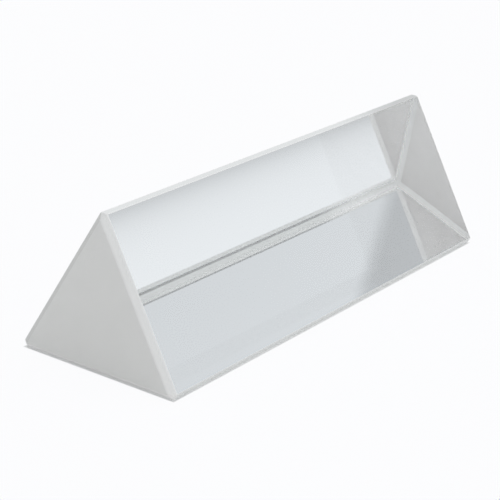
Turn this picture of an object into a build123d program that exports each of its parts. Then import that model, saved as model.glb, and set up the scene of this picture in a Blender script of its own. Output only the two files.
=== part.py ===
"""A dispersing prism: one solid block of clear crown glass, cut to a 60 degree triangle.

The three long faces are polished and flat. The two ends are fine ground, square to the length.
Every edge carries a narrow ground bevel, so that the glass does not chip and is safe to hold.

The frame: +Z is up, +Y runs along the block, and the origin is under the middle of the base,
on the surface that the block rests on. Units are millimetres and degrees.
"""

import os
from math import radians, sin

from build123d import *

# Driving dimensions. Widths of faces are measured to the sharp corners that the bevels cut away.
length = 75.0
base_width = 25.0
apex_angle = 60.0
edge_bevel_width = 1.0
end_bevel_width = 1.0

# The base stands at the same angle to both sloping faces.
base_angle = (180.0 - apex_angle) / 2
end_angle = 90.0


def bevel_leg(flat_width, corner_angle):
    """How far along each face a bevel starts, for a flat that wide across a corner of that angle."""
    return flat_width / (2 * sin(radians(corner_angle) / 2))


with BuildPart() as prism:
    # The cross-section, with a flat across each of its three corners.
    with BuildSketch(Plane.XZ) as section:
        Triangle(a=base_width, B=base_angle, C=base_angle, align=(Align.CENTER, Align.MIN))
        apex_corner = section.vertices().sort_by(Axis.Y)[-1]
        base_corners = section.vertices().group_by(Axis.Y)[0]
        chamfer(apex_corner, length=bevel_leg(edge_bevel_width, apex_angle))
        chamfer(base_corners, length=bevel_leg(edge_bevel_width, base_angle))

    # The block, sawn to length evenly either side of the origin.
    extrude(amount=length / 2, both=True)

    # The two ends, each bevelled all the way round.
    ends = prism.faces().filter_by(Axis.Y)
    chamfer(ends.edges(), length=bevel_leg(end_bevel_width, end_angle))

prism.part.label = "prism"
prism.part.color = Color(0.93, 0.96, 0.96, 0.35)

os.makedirs("parts", exist_ok=True)
export_step(prism.part, "parts/prism.step")
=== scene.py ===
from math import cos, pi, radians, sqrt, tan

import bpy
from mathutils import Matrix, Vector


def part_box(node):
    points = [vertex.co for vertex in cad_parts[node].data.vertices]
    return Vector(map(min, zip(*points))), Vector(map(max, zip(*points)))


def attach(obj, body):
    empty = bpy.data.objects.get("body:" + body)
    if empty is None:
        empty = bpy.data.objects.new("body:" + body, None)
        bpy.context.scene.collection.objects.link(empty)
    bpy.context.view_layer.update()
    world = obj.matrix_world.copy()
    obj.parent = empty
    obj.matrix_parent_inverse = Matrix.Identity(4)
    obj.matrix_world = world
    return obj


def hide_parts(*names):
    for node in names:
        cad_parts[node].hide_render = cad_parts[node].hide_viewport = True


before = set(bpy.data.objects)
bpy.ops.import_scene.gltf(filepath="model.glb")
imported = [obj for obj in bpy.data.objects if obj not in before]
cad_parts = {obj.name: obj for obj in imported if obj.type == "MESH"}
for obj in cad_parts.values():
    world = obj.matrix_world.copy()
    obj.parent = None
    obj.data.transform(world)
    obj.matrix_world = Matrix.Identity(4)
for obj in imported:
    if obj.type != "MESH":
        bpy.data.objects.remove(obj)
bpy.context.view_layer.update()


# --- The glass bar ----------------------------------------------------------------------------
# One block of clear crown glass, sawn from a slab and ground to a 60 degree section. Its three
# long faces are polished flat. The ends and the narrow bevels along every edge are left fine
# ground, and the corners between them are worn a little round. The bevels darken towards the far
# end as painted shade, and the bottom bevels, the far end and some end bevels carry painted shade and
# painted light.

low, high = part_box("prism")
bar_length = high.y - low.y
bevel_flat = 0.001
# The section stands on a polished face, under a bevel flat: height = 0.866 of the width less that flat.
face_width = (high.z - low.z) / (sqrt(3) / 2) + bevel_flat
arris_radius = 0.0001
crown_glass_index = 1.517


class Wire:
    """One output of a node. Arithmetic on it adds Math nodes to the same tree."""

    def __init__(self, tree, socket=None):
        self.tree = tree
        self.socket = socket

    def node(self, kind, settings=(), sockets=(), output=0):
        """Adds a node: its settings first, then a value, a wire or a list of wires for each socket."""
        made = self.tree.nodes.new(kind)
        for name, value in dict(settings).items():
            setattr(made, name, value)
        for name, value in dict(sockets).items():
            for one in value if isinstance(value, list) else [value]:
                if isinstance(one, Wire):
                    self.tree.links.new(one.socket, made.inputs[name])
                else:
                    made.inputs[name].default_value = one
        return Wire(self.tree, made.outputs[output] if made.outputs else None)

    def other(self, output):
        """Another output of the same node."""
        return Wire(self.tree, self.socket.node.outputs[output])

    def maths(self, operation, *values):
        return self.node("ShaderNodeMath", {"operation": operation}, enumerate(values))

    def __add__(self, other):
        return self.maths("ADD", self, other)

    def __sub__(self, other):
        return self.maths("SUBTRACT", self, other)

    def __rsub__(self, other):
        return self.maths("SUBTRACT", other, self)

    def __mul__(self, other):
        return self.maths("MULTIPLY", self, other)

    def __truediv__(self, other):
        return self.maths("DIVIDE", self, other)

    def __neg__(self):
        return self * -1.0

    def __gt__(self, other):
        return self.maths("GREATER_THAN", self, other)

    def __lt__(self, other):
        return self.maths("LESS_THAN", self, other)

    __radd__ = __add__
    __rmul__ = __mul__


def begin(name):
    """A new material with an empty node tree, and the method that adds nodes to it."""
    material = bpy.data.materials.new(name)
    material.use_nodes = True
    material.node_tree.nodes.clear()
    return material, Wire(material.node_tree).node


def place(add, axis):
    """How far along one axis of the object the surface is, in metres."""
    return add("ShaderNodeSeparateXYZ", {}, {"Vector": add("ShaderNodeTexCoord", output="Object")}, axis)


def noise(add, size, detail=2.0):
    """Soft random spots of about that size in metres, from 0 to 1."""
    return add("ShaderNodeTexNoise", {"noise_dimensions": "3D"}, {
        "Vector": add("ShaderNodeTexCoord", output="Object"), "Scale": 1 / size, "Detail": detail,
    })


def eased(value, start, end):
    """0 before start, 1 after end, and a smooth step between them."""
    return value.node("ShaderNodeMapRange", {"interpolation_type": "SMOOTHSTEP"}, {
        "Value": value, "From Min": start, "From Max": end,
    })


def mixed(factor, first, second):
    """The first colour where the factor is 0, and the second where it is 1."""
    return factor.node("ShaderNodeMix", {"data_type": "RGBA"}, {"Factor": factor, 6: first, 7: second}, 2)


def scaled(colour, amount):
    """The colour made lighter or darker by the amount."""
    return colour.node("ShaderNodeVectorMath", {"operation": "SCALE"}, {"Vector": colour, "Scale": amount})


def along(add, start, end):
    """0 before start and 1 after end, in metres along the bar, with a ragged border between them."""
    raggedness = 0.004
    spot_size = 0.002
    return eased(place(add, "Y") + raggedness * noise(add, spot_size), start, end)


# The polish is clear but for a faint uneven haze.
polished_glass, add = begin("polished_glass")
most_haze = 0.02
haze_spot_size = 0.006
surface = add("ShaderNodeBsdfPrincipled", {}, {
    "Base Color": (0.99, 1.0, 1.0, 1.0), "Roughness": most_haze * noise(add, haze_spot_size, 3.0),
    "IOR": crown_glass_index, "Transmission Weight": 1.0,
})
add("ShaderNodeOutputMaterial", {}, {"Surface": surface})


def ground(name, dark, light, far_shade=0.0, rising=0.0):
    """Fine ground glass: white and matt, with a grain too small to feel and a faint cloudiness.

    Towards the far end its tone is darkened by the share given, which is painted shade. By the share
    rising, the tone goes from dark at the foot to light at the top, painted shade and light, and for the
    rest it is cloudy.
    """
    grain_size = 0.00012
    grain_depth = 0.00003
    cloud_size = 0.0035
    far_shade_starts = 0.016
    far_shade_full = 0.034
    material, add = begin(name)
    grain = noise(add, grain_size)
    clouds = (1 - rising) * noise(add, cloud_size, 3.0) + rising / high.z * place(add, "Z")
    tone = mixed(clouds, (*dark, 1.0), (*light, 1.0))
    tone = scaled(tone, 1 - far_shade * along(add, far_shade_starts, far_shade_full))
    surface = add("ShaderNodeBsdfPrincipled", {}, {
        "Base Color": tone, "Roughness": 0.70 + 0.25 * grain, "IOR": crown_glass_index,
        "Normal": add("ShaderNodeBump", {}, {
            "Strength": 0.25, "Distance": grain_depth, "Height": grain,
        }),
    })
    add("ShaderNodeOutputMaterial", {}, {"Surface": surface})
    return material


ground_ends = ground("ground_ends", (0.845, 0.85, 0.838), (0.88, 0.885, 0.873))
# Painted shade makes the bevels darker towards the far end.
ground_bevels = ground("ground_bevels", (0.90, 0.905, 0.90), (0.93, 0.935, 0.93), far_shade=0.22)
# The far end is painted, with shade at its foot and light at its top.
far_end = ground("far_end", (0.745, 0.728, 0.722), (1.0, 0.985, 0.975), rising=0.8)
# Painted light: a lighter tone on the bevels of the far end and on the near end's bottom bevel.
painted_light_bevels = ground("painted_light_bevels", (0.93, 0.925, 0.92), (0.96, 0.955, 0.95))
# Painted shade: a darker tone on the left bevel of the near end, away from the light.
painted_shade_bevel = ground("painted_shade_bevel", (0.77, 0.775, 0.765), (0.80, 0.805, 0.795))

# Both bottom bevels have a darker tone, painted shade, and on the left one a painted shadow line runs along
# the upper corner.
# It stops short of the far end, where the left bevel has painted light at its foot, fading into the painted
# shade higher up.
bottom_bevels_painted_shade, add = begin("bottom_bevels_painted_shade")
painted_shade_tone = (0.80, 0.81, 0.805, 1.0)
painted_shadow_line = (0.47, 0.48, 0.485, 1.0)
painted_light_tone = (1.0, 1.0, 1.0, 1.0)
upper_corner = 0.00067
light_lost_at_corner = 0.6
far_part_starts = 0.016
far_part_full = 0.028
height = place(add, "Z")
is_left = place(add, "X") < 0.0
far_part = along(add, far_part_starts, far_part_full)
tone = mixed(is_left * (height > upper_corner) * (1 - far_part), painted_shade_tone, painted_shadow_line)
tone = mixed(is_left * far_part * (1 - light_lost_at_corner / upper_corner * height), tone, painted_light_tone)
surface = add("ShaderNodeBsdfPrincipled", {}, {
    "Base Color": tone, "Roughness": 0.8, "IOR": crown_glass_index,
})
add("ShaderNodeOutputMaterial", {}, {"Surface": surface})


def bevelled_bar_tree():
    """Sweeps the side profile of the bar round its section, and closes the two ends."""
    tree = bpy.data.node_groups.new("bevelled_bar", "GeometryNodeTree")
    for name in ("Face Width", "Length", "Long Bevel", "End Bevel"):
        tree.interface.new_socket(name, in_out="INPUT", socket_type="NodeSocketFloat")
    for name in ("Polished", "Bevels", "Ends"):
        tree.interface.new_socket(name, in_out="INPUT", socket_type="NodeSocketMaterial")
    tree.interface.new_socket("Mesh", in_out="OUTPUT", socket_type="NodeSocketGeometry")
    given = tree.nodes.new("NodeGroupInput")
    width, length, long_bevel, end_bevel, polished, bevels, ends = (
        Wire(tree, socket) for socket in given.outputs if socket.name
    )
    add = width.node

    # The section: a triangle with a flat cut across each corner. Six equal turns of 60 degrees.
    triangle = add("GeometryNodeCurvePrimitiveCircle", {"mode": "RADIUS"}, {
        "Resolution": 3, "Radius": width / sqrt(3),
    })
    section = add("GeometryNodeFilletCurve", {"mode": "POLY"}, {
        "Curve": triangle, "Count": 1, "Radius": long_bevel * tan(radians(30)), "Limit Radius": False,
    })

    # The profile from end to end. A point that is set in by the bevel's leg lies further in at a
    # corner of the section, because it is measured along the line that halves the corner.
    leg = end_bevel / sqrt(2)
    set_in = -(leg / cos(radians(30)))
    half = length / 2

    def point(x, y):
        return add("ShaderNodeCombineXYZ", {}, {"X": x, "Y": y})

    loop = add("GeometryNodeCurvePrimitiveQuadrilateral", {"mode": "POINTS"}, {
        "Point 1": point(set_in, -half), "Point 2": point(0.0, leg - half),
        "Point 3": point(0.0, half - leg), "Point 4": point(set_in, half),
    })
    profile = add("GeometryNodeSetSplineCyclic", {}, {"Geometry": loop, "Cyclic": False})
    sides = add("GeometryNodeCurveToMesh", {}, {"Curve": section, "Profile Curve": profile})

    # The ends, each filling the section's outline set in by the bevel.
    inward = add("ShaderNodeVectorMath", {"operation": "SCALE"}, {
        "Vector": add("GeometryNodeInputNormal"), "Scale": set_in,
    })
    outline = add("GeometryNodeSetPosition", {}, {"Geometry": section, "Offset": inward})
    end = add("GeometryNodeFillCurve", {"mode": "NGONS"}, {"Curve": outline})

    def moved(part, z):
        return add("GeometryNodeTransform", {}, {
            "Geometry": part, "Translation": add("ShaderNodeCombineXYZ", {}, {"Z": z}),
        })

    near_end = add("GeometryNodeFlipFaces", {}, {"Mesh": moved(end, -half)})
    bar = add("GeometryNodeMergeByDistance", {}, {
        "Geometry": add("GeometryNodeJoinGeometry", {}, {"Geometry": [sides, near_end, moved(end, half)]}),
        "Distance": 1e-6,
    })

    # Laid along Y on a polished face, with a bevelled edge on top.
    stood = add("GeometryNodeTransform", {}, {"Geometry": bar, "Rotation": (0.0, 0.0, pi / 2)})
    laid = add("GeometryNodeTransform", {}, {
        "Geometry": stood,
        "Rotation": (pi / 2, 0.0, 0.0),
        "Translation": add("ShaderNodeCombineXYZ", {}, {"Z": width / sqrt(12)}),
    })

    # The long faces are those whose normals point down or 30 degrees up: there 3z - 4z^3 is 1,
    # where it is -1 on the long bevels. On all that faces an end, 4y^2 takes 2 or more away.
    facing = add("ShaderNodeSeparateXYZ", {}, {"Vector": add("GeometryNodeInputNormal")})
    y, z = facing.other("Y"), facing.other("Z")
    is_long_face = 3 * z - 4 * z * z * z - 4 * y * y > 0.5
    finished = add("GeometryNodeSetMaterial", {}, {"Geometry": laid, "Material": bevels})
    for chosen, finish in ((is_long_face, polished), (y * y > 0.9, ends)):
        finished = add("GeometryNodeSetMaterial", {}, {
            "Geometry": finished, "Selection": chosen, "Material": finish,
        })
    result = add("GeometryNodeRealizeInstances", {}, {"Geometry": finished})
    out = tree.nodes.new("NodeGroupOutput")
    tree.links.new(result.socket, out.inputs[0])
    return tree


def grown(name, tree, inputs):
    """An object with no mesh of its own, whose geometry tree makes one from the inputs."""
    base = bpy.data.objects.new(name, bpy.data.meshes.new(name))
    bpy.context.scene.collection.objects.link(base)
    modifier = base.modifiers.new("tree", "NODES")
    modifier.node_group = tree
    for item in tree.interface.items_tree:
        if item.in_out == "INPUT":
            modifier[item.identifier] = inputs[item.name]
    return base


bar = grown("prism_glass", bevelled_bar_tree(), {
    "Face Width": face_width, "Length": bar_length, "Long Bevel": bevel_flat, "End Bevel": bevel_flat,
    "Polished": polished_glass, "Bevels": ground_bevels, "Ends": ground_ends,
})
worn = bar.modifiers.new("arris", "BEVEL")
worn.width = arris_radius
worn.segments = 2
worn.limit_method = "ANGLE"
worn.angle_limit = radians(20)
worn.harden_normals = True
whole = bpy.data.meshes.new_from_object(bar.evaluated_get(bpy.context.evaluated_depsgraph_get()))
bar.modifiers.clear()
bar.data = whole
whole.name = "prism_glass"

# The worn corners, which are the faces with a very short side, are matt like the bevels. The far
# end, the bottom bevels and two bevels of the near end get materials with painted light and shade.
whole.materials.pop(index=0)
for added in (bottom_bevels_painted_shade, far_end, painted_light_bevels, painted_shade_bevel):
    whole.materials.append(added)
slots = list(whole.materials)
very_short = 1.5 * arris_radius
near_outer_edge = 0.95 * high.x
left_of_middle = -0.1 * bevel_flat
for face in whole.polygons:
    corners = [whole.vertices[index].co for pair in face.edge_keys for index in pair]
    sides = [(one - other).length for one, other in zip(corners[::2], corners[1::2])]
    is_end = abs(face.normal.y) > 0.99
    is_far = face.center.y > high.y - bevel_flat
    is_near = face.center.y < low.y + bevel_flat
    is_long = abs(face.center.y) < bevel_flat
    if min(sides) < very_short and not is_end:
        face.material_index = slots.index(ground_bevels)
    if is_far:
        face.material_index = slots.index(far_end if is_end else painted_light_bevels)
    if is_long and abs(face.center.x) > near_outer_edge:
        face.material_index = slots.index(bottom_bevels_painted_shade)
    if is_near and face.center.x < left_of_middle:
        face.material_index = slots.index(painted_shade_bevel)
    if is_near and face.center.z < bevel_flat:
        face.material_index = slots.index(painted_light_bevels)
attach(bar, "root")
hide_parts("prism")


# --- The table, the light and the camera -------------------------------------------------------
# A white paper table in an even, pale room, with a dark line where the bar stands on it. The light
# is a little stronger from above and from the back right, and a grey panel stands behind the far
# end of the bar. Rays that have left the glass meet the same room, at the levels given for them.

table_material, add = begin("white_table")
ray = add("ShaderNodeLightPath")
camera_ray = ray.other("Is Camera Ray")
through_glass = ray.maths("MAXIMUM", ray.other("Is Glossy Ray"), ray.other("Is Transmission Ray"))
across = place(add, "X")
# The dark line reaches a little further out on the left, away from the light, and at the far end.
# Along it the paper shows the bar's shadow. Beyond it the camera sees the paper almost evenly white.
line_half_width = 0.0117
line_half_length = 0.0370
line_shift = 0.0002
line_softness = 0.0003
evenly_white = 0.95
beside = across.maths("ABSOLUTE", across + line_shift) - line_half_width
past_the_end = across.maths("ABSOLUTE", place(add, "Y") - line_shift) - line_half_length
open_table = eased(across.maths("MAXIMUM", beside, past_the_end), 0.0, line_softness)
# Through the glass the paper glows with a painted shadow: half as bright under the middle of the bar, and
# brighter to the sides.
under_the_bar = 0.50
added_beside = 0.355
half_added_at = 0.0024
clear_of_bar = across * across / (across * across + half_added_at * half_added_at)
paper = add("ShaderNodeBsdfDiffuse", {}, {"Color": (0.90, 0.90, 0.90, 1.0)})
tint = mixed(camera_ray, (0.945, 0.975, 1.0, 1.0), (0.985, 0.99, 1.0, 1.0))
white = add("ShaderNodeEmission", {}, {
    "Color": scaled(tint, camera_ray + through_glass * (under_the_bar + added_beside * clear_of_bar)),
})
add("ShaderNodeOutputMaterial", {}, {"Surface": add("ShaderNodeMixShader", {}, {
    "Fac": evenly_white * camera_ray * open_table + through_glass, 1: paper, 2: white,
})})
table_mesh = bpy.data.meshes.new("table")
reach = 3.0
gap = 0.0001
table_corners = [(-reach, -reach, -gap), (reach, -reach, -gap), (reach, reach, -gap), (-reach, reach, -gap)]
table_mesh.from_pydata(table_corners, [], [(0, 1, 2, 3)])
table_mesh.materials.append(table_material)
table = bpy.data.objects.new("table", table_mesh)
bpy.context.scene.collection.objects.link(table)

world = bpy.data.worlds.new("studio")
world.use_nodes = True
world.node_tree.nodes.clear()
bpy.context.scene.world = world
add = Wire(world.node_tree).node
ray = add("ShaderNodeLightPath")
look = add("ShaderNodeTexCoord", output="Generated")


def toward(direction):
    """How far the ray points that way: 1 along it, 0 across it."""
    return add("ShaderNodeVectorMath", {"operation": "DOT_PRODUCT"}, {0: look, 1: direction}, "Value")


# The panel covers the half of the room toward panel_side, with a sharp border, and fades out to the
# right.
panel_side = (0.8906, 0.4204, 0.1734)
panel_greyness = 0.31
panel = eased(toward(panel_side), -0.010, 0.002) * eased(toward((1, 0, 0)), 0.4, -0.2)

# What polished glass shows of the room, and the light that falls on matt surfaces, in the open air
# and inside the glass. Each is a middle level and a slope.
seen_middle = 0.566
seen_slope = (0.354, 0.196, 0.354)
lit_middle = 0.60
lit_slope = (0.15, 0.34, 0.43)
lit_inside = 0.92
seen = (seen_middle + toward(seen_slope)) * (1 - panel_greyness * panel)
lit_outside = lit_middle + toward(lit_slope)
is_inside = ray.other("Transmission Depth") > 0.5
lit = lit_outside + is_inside * (lit_inside - lit_outside)
is_scattered = ray.other("Diffuse Depth") > 0.5
light = seen + is_scattered * (lit - seen)
camera_ray = ray.other("Is Camera Ray")
tint = mixed(is_scattered, (0.93, 0.968, 1.0, 1.0), (0.975, 0.985, 0.99, 1.0))
sky = add("ShaderNodeBackground", {}, {"Color": scaled(tint, camera_ray + (1 - camera_ray) * light)})
add("ShaderNodeOutputWorld", {}, {"Surface": sky})

# The camera stands to the right of the near end, a little above the bar, and leans slightly.
heading = Matrix.Rotation(radians(33.604), 4, "Z")
tilt = Matrix.Rotation(pi / 2 - radians(20.782), 4, "X")
roll = Matrix.Rotation(radians(3.756), 4, "Z")
aim = Matrix.Translation((-0.00153, -0.00289, 0.00630))
distance = Matrix.Translation((0, 0, 0.23768))
camera = bpy.data.objects.new("camera", bpy.data.cameras.new("camera"))
camera.data.lens = 125.26
camera.data.clip_start = 0.01
camera.matrix_world = aim @ (heading @ tilt @ roll) @ distance
bpy.context.scene.collection.objects.link(camera)
bpy.context.scene.camera = camera

# Deep bounces for the light that turns many times inside the bar. Polished faces stay sharp after a
# matt one, and the denoiser isn't misled by the glass.
bpy.context.scene.view_settings.view_transform = "Standard"
bpy.context.scene.cycles.max_bounces = 32
bpy.context.scene.cycles.glossy_bounces = 32
bpy.context.scene.cycles.transmission_bounces = 32
bpy.context.scene.cycles.blur_glossy = 0.0
bpy.context.scene.cycles.denoising_input_passes = "RGB_ALBEDO"
bpy.context.scene.cycles.denoising_prefilter = "FAST"
